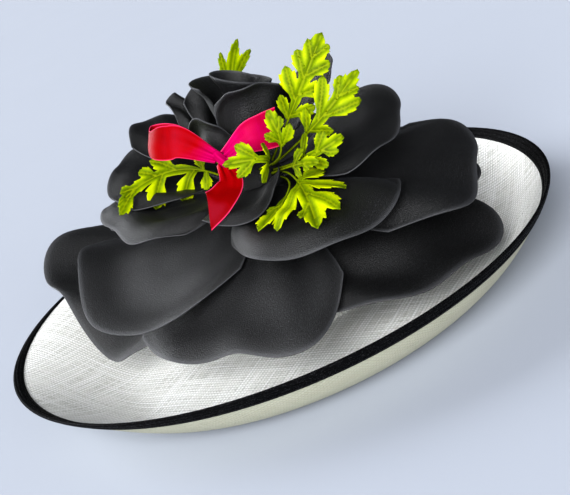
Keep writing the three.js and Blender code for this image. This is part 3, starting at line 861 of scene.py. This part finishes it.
def make_heart(material):
    """The padded base: cloth drawn over it in tucks that run to its top."""
    flat_height = CROWN_HEIGHT + SEAM_GAP - HEART[2]
    angle = even_angles(HEART_STEPS)
    low = math.asin(flat_height / HEART_RADIUS)
    rings = [on_ray(angle, np.full(len(angle), 0.1), flat_height)]
    for turn in np.linspace(low, math.pi / 2 * 0.995, 24):
        tuck = 1 - TUCK_DEPTH * math.cos(turn) * np.abs(np.sin(HEART_TUCKS * angle / 2)) ** 0.5
        radius = HEART_RADIUS * math.cos(turn) * tuck
        rings.append(on_ray(angle, radius, HEART_RADIUS * math.sin(turn)))
    rings = np.stack(rings) + HEART
    mesh = ring_mesh("heart_pad", rings, unrolled(rings, angle), closed_ends=True)
    set_share(mesh, "edge", np.zeros(len(mesh.vertices)))
    piece = finished(add_object("heart_pad", mesh, material), "flower_heart")


# Leaves

FACING_OUT = (0, -0.93, 0.37)
FACING_UP = (0, -0.3, 0.95)
STALK_HALF_WIDTH = 1.2
FILL_SPACING = 2.0
FILL_INSIDE = 1
FILL_MERGE = 1e-3
RIB_SHARE = 0.9
RIB_PUFF = 1.5
RIB_REACH = 3.0
RIB_WIDTH = 0.7
FOLD_WIDTH = 7
LEAF_DROOP = 0.01
LEAF_FOLD = 0.22
LEAF_CURL = 2.4

# Columns: the stalk's azimuth and lift on the heart, the midrib's middle and tip, the direction that the
# blade faces, the bare stalk's share of the length, and the width of the blade's last lobe.
LEAF_COLUMNS = ["name", "azimuth", "lift", "middle", "tip", "facing", "stalk", "width"]
LEAVES = rows(LEAF_COLUMNS, [
    ["leaf_behind_bud", 100, 42, [28, 76, 222], [58, 60, 278], FACING_OUT, 0.55, 12],
    ["leaf_tall", -28, 36, [78, -57, 216], [130, -52, 269], FACING_OUT, 0.4, 25],
    ["leaf_right_tall", -38, 29, [90, -70, 193], [147, -66, 225], FACING_OUT, 0.45, 19],
    ["leaf_front_up", -60, 34, [48, -80, 186], [49, -84, 228], FACING_OUT, 0.6, 17],
    ["leaf_right", -44, 21, [70, -76, 167], [108, -84, 175], FACING_OUT, 0.5, 15],
    ["leaf_right_low", -52, 17, [60, -80, 165], [76, -98, 163], FACING_OUT, 0.5, 13],
    ["leaf_front_left", -72, 32, [30, -90, 186], [-10, -90, 198], FACING_OUT, 0.45, 14],
    ["leaf_fan", -48, 14, [50, -86, 154], [46, -186, 134], FACING_UP, 0.42, 23],
    ["leaf_narrow", -46, 8, [40, -80, 146], [-4, -146, 141], FACING_UP, 0.5, 18],
    ["leaf_left_spray", 176, 28, [-66, 20, 186], [-124, -12, 184], FACING_OUT, 0.12, 13],
    ["leaf_back_left", 140, 32, [-26, 52, 190], [-30, 62, 217], FACING_OUT, 0.6, 8],
])

# Lobes of each leaf. Columns: where it leaves the midrib, as a share of the blade; its angle from the midrib,
# above zero on the left of the way the leaf grows; and its length and width.
LOBE_COLUMNS = ["share", "angle", "length", "width"]
LOBES = {
    "leaf_behind_bud": [[0, 19, 46, 9], [0, -15, 60, 12]],
    "leaf_tall": [
        [0.02, 40, 26, 15], [0.06, -44, 28, 16], [0.24, 38, 36, 20], [0.3, -46, 30, 18], [0.48, 34, 30, 18],
        [0.52, -42, 27, 16], [0.7, 30, 20, 12], [0.72, -34, 20, 12],
    ],
    "leaf_right_tall": [
        [0.0, 44, 26, 14], [0.06, -46, 24, 14], [0.22, 32, 46, 17], [0.3, -30, 40, 17], [0.56, 28, 24, 12],
        [0.6, -30, 22, 11],
    ],
    "leaf_front_up": [[0.1, -36, 24, 14], [0.2, 38, 20, 12], [0.45, -30, 16, 9]],
    "leaf_right": [[0.05, 52, 30, 14], [0.2, -44, 24, 13], [0.4, 38, 24, 12], [0.5, -36, 18, 10]],
    "leaf_right_low": [[0.1, -34, 22, 12], [0.15, 38, 24, 12], [0.5, -30, 14, 8]],
    "leaf_front_left": [[0.05, -44, 22, 13], [0.15, 54, 28, 15], [0.42, -36, 26, 14], [0.48, 40, 24, 13]],
    "leaf_fan": [
        [0, 108, 32, 19], [0.06, 53, 47, 27], [0.3, 26, 56, 25], [0.1, -33, 68, 21], [0.5, -26, 28, 13],
    ],
    "leaf_narrow": [[0.25, 22, 22, 11], [0.3, -20, 20, 10]],
    "leaf_left_spray": [
        [0, 110, 20, 15], [0.03, -62, 18, 14], [0.12, 63, 38, 26], [0.3, -40, 28, 19], [0.43, 44, 42, 26],
        [0.49, -38, 20, 14], [0.73, -20, 20, 12], [0.76, 14, 37, 16],
    ],
    "leaf_back_left": [[0.2, 38, 10, 7], [0.2, -38, 10, 7]],
}

# Half a lobe's outline. Columns: share of the length, and share of the half-width. The pairs of points
# that step back are its teeth.
LOBE_OUTLINE = [
    [0, 0.32], [0.26, 0.4], [0.42, 0.7], [0.6, 1], [0.6, 0.8], [0.72, 0.88], [0.84, 0.82], [0.82, 0.58],
    [0.93, 0.42],
]
WEB_SHARE = 0.13


def lobe_outline(foot, angle, length, width, chance):
    """A toothed lobe in the leaf's own plane. No two sides are quite alike."""
    sides = []
    for side in (1, -1):
        long = length * chance.uniform(0.93, 1.06)
        wide = side * width / 2 * chance.uniform(0.85, 1.12)
        sides.append([(along * long, across * wide) for along, across in LOBE_OUTLINE])
    outline = sides[0] + [(length, 0.0)] + sides[1][::-1]
    turn = np.array([[math.cos(angle), math.sin(angle)], [-math.sin(angle), math.cos(angle)]])
    return np.array(outline) @ turn + np.array([foot, 0])


def leaf_outlines(leaf, length, seed):
    """The stalk, the web along the midrib and the lobes, with the line of each one's rib."""
    chance = np.random.default_rng(seed)
    start = leaf["stalk"] * length
    blade = length - start
    lobes = rows(LOBE_COLUMNS, LOBES[leaf["name"]])
    web = WEB_SHARE * max(lobe["length"] for lobe in lobes)
    last = start + 0.3 * blade
    outlines = [
        np.array([
            [0, -STALK_HALF_WIDTH], [last, -STALK_HALF_WIDTH * 0.8], [last, STALK_HALF_WIDTH * 0.8],
            [0, STALK_HALF_WIDTH],
        ]),
        np.array([
            [start - 3, 0], [start + 0.25 * blade, -web], [start + 0.7 * blade, -web * 0.8],
            [length * 0.97, 0], [start + 0.7 * blade, web * 0.8], [start + 0.25 * blade, web],
        ]),
        lobe_outline(last, 0.0, length - last, leaf["width"], chance),
    ]
    ribs = [((0.0, 0.0), (length, 0.0))]
    for lobe in lobes:
        foot = start + lobe["share"] * blade
        angle = math.radians(lobe["angle"])
        outlines.append(lobe_outline(foot, angle, lobe["length"], lobe["width"], chance))
        tip = (foot + lobe["length"] * math.cos(angle), lobe["length"] * math.sin(angle))
        ribs.append(((foot, 0.0), tip))
    return outlines, ribs


def inside_polygon(points, polygon):
    inside = np.zeros(len(points), bool)
    for (x0, y0), (x1, y1) in zip(polygon, np.roll(polygon, -1, axis=0)):
        crosses = (y0 > points[:, 1]) != (y1 > points[:, 1])
        with np.errstate(divide="ignore", invalid="ignore"):
            at = x0 + (points[:, 1] - y0) * (x1 - x0) / (y1 - y0)
        inside ^= crosses & (points[:, 0] < at)
    return inside


def with_short_sides(outline):
    """The same outline with points added along its longer sides."""
    points = []
    for start, end in zip(outline, np.roll(outline, -1, axis=0)):
        pieces = math.ceil(np.linalg.norm(end - start) / FILL_SPACING)
        points += [mix(start, end, k / pieces) for k in range(pieces)]
    return np.array(points)


def fill_outlines(outlines, ribs):
    """Triangles that fill the outlines together, small enough to bend, with edges along the ribs."""
    outlines = [with_short_sides(outline) for outline in outlines]
    corners = np.concatenate(outlines)
    faces, first = [], 0
    for outline in outlines:
        faces.append(list(range(first, first + len(outline))))
        first += len(outline)
    rib_points, edges = [], []
    for start, end in ribs:
        start, end = np.array(start), np.array(end)
        count = max(3, round(RIB_SHARE * np.linalg.norm(end - start) / FILL_SPACING))
        edges += [(first + k, first + k + 1) for k in range(count - 1)]
        rib_points += [mix(start, end, RIB_SHARE * k / (count - 1)) for k in range(count)]
        first += count
    low, high = corners.min(0), corners.max(0)
    grid_x, grid_y = np.meshgrid(*(np.arange(low[axis], high[axis], FILL_SPACING) for axis in range(2)))
    grid_x[1::2] += FILL_SPACING / 2
    filler = np.stack([grid_x.ravel(), grid_y.ravel()], -1)
    within = np.zeros(len(filler), bool)
    for outline in outlines:
        within |= inside_polygon(filler, outline)
    within &= distance_to_ribs(filler, ribs) > FILL_SPACING / 2
    places = [Vector(p) for p in np.concatenate([corners, rib_points, filler[within]]).tolist()]
    points, _, triangles = delaunay_2d_cdt(places, edges, faces, FILL_INSIDE, FILL_MERGE)[:3]
    return np.array([list(p) for p in points]), triangles


def distance_to_ribs(points, ribs):
    best = np.full(len(points), np.inf)
    for start, end in ribs:
        start, end = np.array(start), np.array(end)
        along = end - start
        t = np.clip((points - start) @ along / (along @ along), 0, 1)
        best = np.minimum(best, np.linalg.norm(points - start - t[:, None] * along, axis=1))
    return best


def midrib_curve(leaf):
    """Points along the midrib, its directions and its lengths so far."""
    root = flower_point(np.array(ROOT_REACH), np.array(leaf["azimuth"]), np.array(leaf["lift"]))
    middle, tip = np.array(leaf["middle"], float), np.array(leaf["tip"], float)
    bend = 2 * middle - (root + tip) / 2
    t = np.linspace(0, 1, 121)[:, None]
    line = (1 - t) ** 2 * root + 2 * t * (1 - t) * bend + t**2 * tip
    steps = np.linalg.norm(np.diff(line, axis=0), axis=1)
    return line, unit(np.gradient(line, axis=0)), np.concatenate([[0], np.cumsum(steps)])


def along_midrib(line, lengths, places):
    return np.stack([np.interp(places, lengths, line[:, axis]) for axis in range(3)], -1)


def leaf_mesh(leaf, seed):
    line, ways, lengths = midrib_curve(leaf)
    length = lengths[-1]
    outlines, ribs = leaf_outlines(leaf, length, seed)
    flat, faces = fill_outlines(outlines, ribs)
    from_rib = distance_to_ribs(flat, ribs)
    way = unit(along_midrib(ways, lengths, flat[:, 0]))
    across = unit(np.cross(np.array(leaf["facing"]), way))
    facing = np.cross(way, across)
    beyond = np.maximum(flat[:, :1] - length, 0)
    puff = RIB_PUFF * (1 - np.exp(-((from_rib / RIB_REACH) ** 2)))
    from_middle = np.abs(flat[:, 1])
    curl = LEAF_CURL * waves(flat[:, 0] / 22, flat[:, 1] / 16, CURL_SEED + seed)
    curl *= np.minimum(from_middle / 10, 1)
    fold = LEAF_FOLD * from_middle * smoothstep(flat[:, 0], leaf["stalk"] * length, length * 0.8)
    height = puff + curl + fold - LEAF_DROOP * from_middle**2
    points = along_midrib(line, lengths, flat[:, 0]) + way * beyond
    points += across * flat[:, 1:] + facing * height[:, None]
    # The second share carries painted shade: darker green near the ribs, lime away from them
    shares = {"rib": np.exp(-((from_rib / RIB_WIDTH) ** 2)), "depth": np.clip(from_rib / FOLD_WIDTH, 0, 1)}
    return mesh_from(leaf["name"] + "_cut", points, faces, flat, shares), flat, faces


def flat_area(flat, faces):
    """Area in square metres of the whole cut, the stalk included."""
    a, b, c = (flat[[face[k] for face in faces]] for k in range(3))
    one, other = b - a, c - a
    return np.abs(one[:, 0] * other[:, 1] - one[:, 1] * other[:, 0]).sum() / 2 * MM**2


def blade_size(flat):
    """Width and length in metres of a leaf's blade, which starts where the cut gets wider than its stalk."""
    wider = np.abs(flat[:, 1]) > STALK_HALF_WIDTH + 0.01
    return np.ptp(flat[:, 1]) * MM, (flat[:, 0].max() - flat[wider, 0].min()) * MM


def make_leaves(material):
    for seed, leaf in enumerate(LEAVES):
        mesh, flat, faces = leaf_mesh(leaf, seed)
        merge_and_face_out(mesh)
        piece = add_object(leaf["name"] + "_cut", mesh, material)
        thicken(piece, LEAF_THICKNESS)
        finished(piece, leaf["name"])
        whole_cut = flat_area(flat, faces)
        blade_size(flat)


# Ribbon

RIBBON_UP = np.array([0.4, 0.3, 0.86])
RIBBON_SIDE = np.array([0.91, -0.15, -0.38])
KNOT_CENTRE = np.array([-9, -60, 196])
KNOT_RADIUS = 8
TUCKED_START = 4.5
NARROW = 12
RIBBON_ACROSS = 25
RIBBON_STEPS = 30
GATHER_HEIGHT = 1.8
GATHER_REACH = 16
PAINTED_SHEEN_REACH = 22
BOW_HEIGHT = 1.5

# Columns: the direction that the ribbon's width lies along, whether its end comes back to the knot, how far
# its cut end slants, how much painted pink sheen it has at the knot and away from it, and stations along its
# middle line, each x, y, z and the width there.
RIBBON_COLUMNS = ["name", "across", "returns", "slant", "pink", "stations"]
RIBBONS = rows(RIBBON_COLUMNS, [
    ["ribbon_loop", RIBBON_UP, True, 0, [1, 0.2], [
        [-38, -57, 226, 30], [-52, -52, 231, 34], [-62, -45, 233, 31], [-67, -35, 234, 23],
        [-62, -27, 232, 31], [-50, -30, 229, 32], [-38, -38, 223, 27],
    ]],
    ["ribbon_tail_up", RIBBON_UP, False, 4, [1, 0.6], [
        [22, -70, 207, 30], [42, -68, 206, 36], [58, -64, 204, 38],
    ]],
    ["ribbon_tail_down", RIBBON_SIDE, False, 10, [0.5, 0], [
        [-9, -78, 176, 24], [-26, -92, 168, 30], [-50, -96, 161, 34],
    ]],
])


def station_at_knot(station):
    """The ribbon's narrow start, tucked just under the knot's band."""
    out = unit(np.array(station[:3], float) - KNOT_CENTRE) * TUCKED_START
    return [*(KNOT_CENTRE + out), NARROW]


def ribbon_points(ribbon, seed):
    """A ribbon's middle surface on a grid, bowed across and gathered at the knot, and its shares."""
    stations = [station_at_knot(ribbon["stations"][0]), *ribbon["stations"]]
    if ribbon["returns"]:
        stations.append(station_at_knot(ribbon["stations"][-1]))
    steps = RIBBON_STEPS * len(stations)
    side, v = np.meshgrid(np.linspace(-1, 1, RIBBON_ACROSS), np.linspace(0, 1, steps))
    length = np.linalg.norm(np.diff(np.array(stations)[:, :3], axis=0), axis=1).sum()
    slant = ribbon["slant"] / length
    slanted = v * (1 - slant) + slant * side * v**3
    place = catmull_rom(stations, slanted)
    step = 0.01
    ahead, behind = (catmull_rom(stations, slanted + move)[..., :3] for move in (step, -step))
    way = unit(ahead - behind)
    across = unit(ribbon["across"] - way * (way @ ribbon["across"])[..., None])
    facing = np.cross(across, way)
    from_knot = np.linalg.norm(place[..., :3] - KNOT_CENTRE, axis=-1) - KNOT_RADIUS
    gather = GATHER_HEIGHT * np.exp(-from_knot / GATHER_REACH) * np.cos(2.5 * math.pi * side + seed)
    uneven = 0.5 * waves(1.2 * side, 5 * v, RIBBON_SEED + seed) * smoothstep(from_knot, 4, 20)
    height = gather + BOW_HEIGHT * (1 - side**2) + uneven
    points = place[..., :3] + across * (side * place[..., 3] / 2)[..., None] + facing * height[..., None]
    near_knot, away = ribbon["pink"]
    # Painted sheen: hot pink, strongest near the knot and fading away from it
    blush = mix(away, near_knot, np.exp(-from_knot / PAINTED_SHEEN_REACH))
    return points, {"edge": smoothstep(np.abs(side), 0.94, 1), "blush": blush}


def make_ribbons(material):
    for seed, ribbon in enumerate(RIBBONS):
        points, shares = ribbon_points(ribbon, seed)
        name = ribbon["name"]
        cloth_sheet(
            name + "_satin", name, points, material, RIBBON_THICKNESS, shares
        )


KNOT_AXIS = unit(np.array([0.33, -0.32, -0.89]))
KNOT_LENGTH = 23
KNOT_STEPS = 72
KNOT_CREASES = 5
CREASE_DEPTH = 0.07
BAND_WIDTH = 9.6
BAND_DEPTH = 15


def make_knot(material):
    """The band that is drawn tight round the middle of the bow, creased along its run."""
    side = unit(np.cross(KNOT_AXIS, np.array(FACING_OUT)))
    out = np.cross(side, KNOT_AXIS)
    angle = even_angles(KNOT_STEPS)
    rings = []
    for share in np.linspace(-1, 1, 33):
        belly = (1 - abs(share) ** 3.2) ** 0.5 if abs(share) < 1 else 0.02
        crease = 1 + CREASE_DEPTH * np.cos(KNOT_CREASES * angle + 2.2 * share) * (1 - share**2)
        radius = belly * crease / 2
        middle = KNOT_CENTRE + KNOT_AXIS * share * KNOT_LENGTH / 2
        deep = np.outer(BAND_DEPTH * radius * np.cos(angle), out)
        rings.append(middle + deep + np.outer(BAND_WIDTH * radius * np.sin(angle), side))
    rings = np.stack(rings)
    mesh = ring_mesh("knot_band", rings, rings[..., [0, 2]], closed_ends=True)
    set_share(mesh, "edge", np.zeros(len(mesh.vertices)))
    # The knot's band gets a strong painted pink sheen
    set_share(mesh, "blush", np.full(len(mesh.vertices), 0.9))
    piece = finished(add_object("knot_band", mesh, material), "ribbon_knot")


# Room

FLOOR_COLOUR = (0.36, 0.385, 0.44, 1)
FLOOR_SHADE = (0.3528, 0.3773, 0.4312, 1)
FLOOR_REACH = 30
WALL_COLOUR = (0.86, 0.91, 1, 1)
HAT_MIDDLE = Vector((0, 0, 0.12))
LAMP_SPREAD = math.radians(42)
# Columns: a place in metres that the lamp shines from, its power and its colour
LAMPS = rows(["name", "place", "power", "colour"], [
    ["daylight in front", (-0.3, -0.82, 0.58), 5.6, (0.98, 0.99, 1)],
    ["low light in front", (0.3, -0.9, 0.3), 1.8, (1, 1, 1)],
    ["window at the left", (-0.75, 0.5, 0.46), 3.8, (0.95, 0.97, 1)],
])


def floor_finish():
    finish = Finish("pale floor", {"Roughness": 0.9, "Specular IOR Level": 0.1})
    cloud = finish.noise(finish.place, scale=3, detail=1)
    finish.join("Base Color", finish.blend(cloud, FLOOR_SHADE, FLOOR_COLOUR))
    return finish.material


def make_floor():
    mesh = bpy.data.meshes.new("floor")
    corners = [(x * FLOOR_REACH, y * FLOOR_REACH, 0) for x, y in ((-1, -1), (1, -1), (1, 1), (-1, 1))]
    mesh.from_pydata(corners, [], [(0, 1, 2, 3)])
    add_object("floor", mesh, floor_finish())


def make_lamps():
    """Soft far lamps that point at the hat's middle, so that the floor is lit evenly all round."""
    for lamp in LAMPS:
        data = bpy.data.lights.new(lamp["name"], "SUN")
        data.energy = lamp["power"]
        data.angle = LAMP_SPREAD
        data.color = lamp["colour"]
        made = bpy.data.objects.new(lamp["name"], data)
        made.location = lamp["place"]
        made.rotation_mode = "QUATERNION"
        made.rotation_quaternion = (HAT_MIDDLE - Vector(lamp["place"])).to_track_quat("-Z", "Y")
        bpy.context.scene.collection.objects.link(made)


def make_walls():
    """The room's pale walls. They look brighter than they shine, and the cloth mirrors them weakly."""
    world = bpy.data.worlds.new("room")
    world.use_nodes = True
    start = Wire(world.node_tree)
    seen = start.node("ShaderNodeLightPath", output="Is Camera Ray")
    mirrored = start.node("ShaderNodeLightPath", output="Is Glossy Ray")
    walls = world.node_tree.nodes["Background"]
    walls.inputs["Color"].default_value = WALL_COLOUR
    world.node_tree.links.new((seen * 0.55 + 0.24 - mirrored * 0.16).socket, walls.inputs["Strength"])
    bpy.context.scene.world = world


def make_room():
    make_floor()
    make_walls()
    make_lamps()
    bpy.context.scene.view_settings.view_transform = "Standard"
    bpy.context.scene.view_settings.look = "Medium High Contrast"


def make_camera():
    data = bpy.data.cameras.new("camera")
    data.lens = CAMERA_LENS
    data.sensor_width = CAMERA_SENSOR
    camera = bpy.data.objects.new("camera", data)
    look = (CAMERA_TARGET - CAMERA_PLACE).to_track_quat("-Z", "Y").to_matrix().to_4x4()
    camera.matrix_world = Matrix.Translation(CAMERA_PLACE) @ look @ Matrix.Rotation(CAMERA_ROLL, 4, "Z")
    bpy.context.scene.collection.objects.link(camera)
    bpy.context.scene.camera = camera


def blacken_pin(material):
    """The plain pin behind the knot stays a CAD solid. It is black like the petals that it runs between."""
    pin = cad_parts["ribbon_pin"]
    pin.data.materials.clear()
    pin.data.materials.append(material)


def main():
    make_camera()
    make_room()
    sinamay = sinamay_finish()
    braid = braid_finish()
    satin_black = petal_finish()
    make_brim(sinamay)
    make_crown(sinamay)
    make_binding(braid)
    make_heart(satin_black)
    make_petals(satin_black)
    make_bud(satin_black)
    make_leaves(leaf_finish())
    pink = ribbon_finish()
    make_ribbons(pink)
    make_knot(pink)
    blacken_pin(braid)


main()
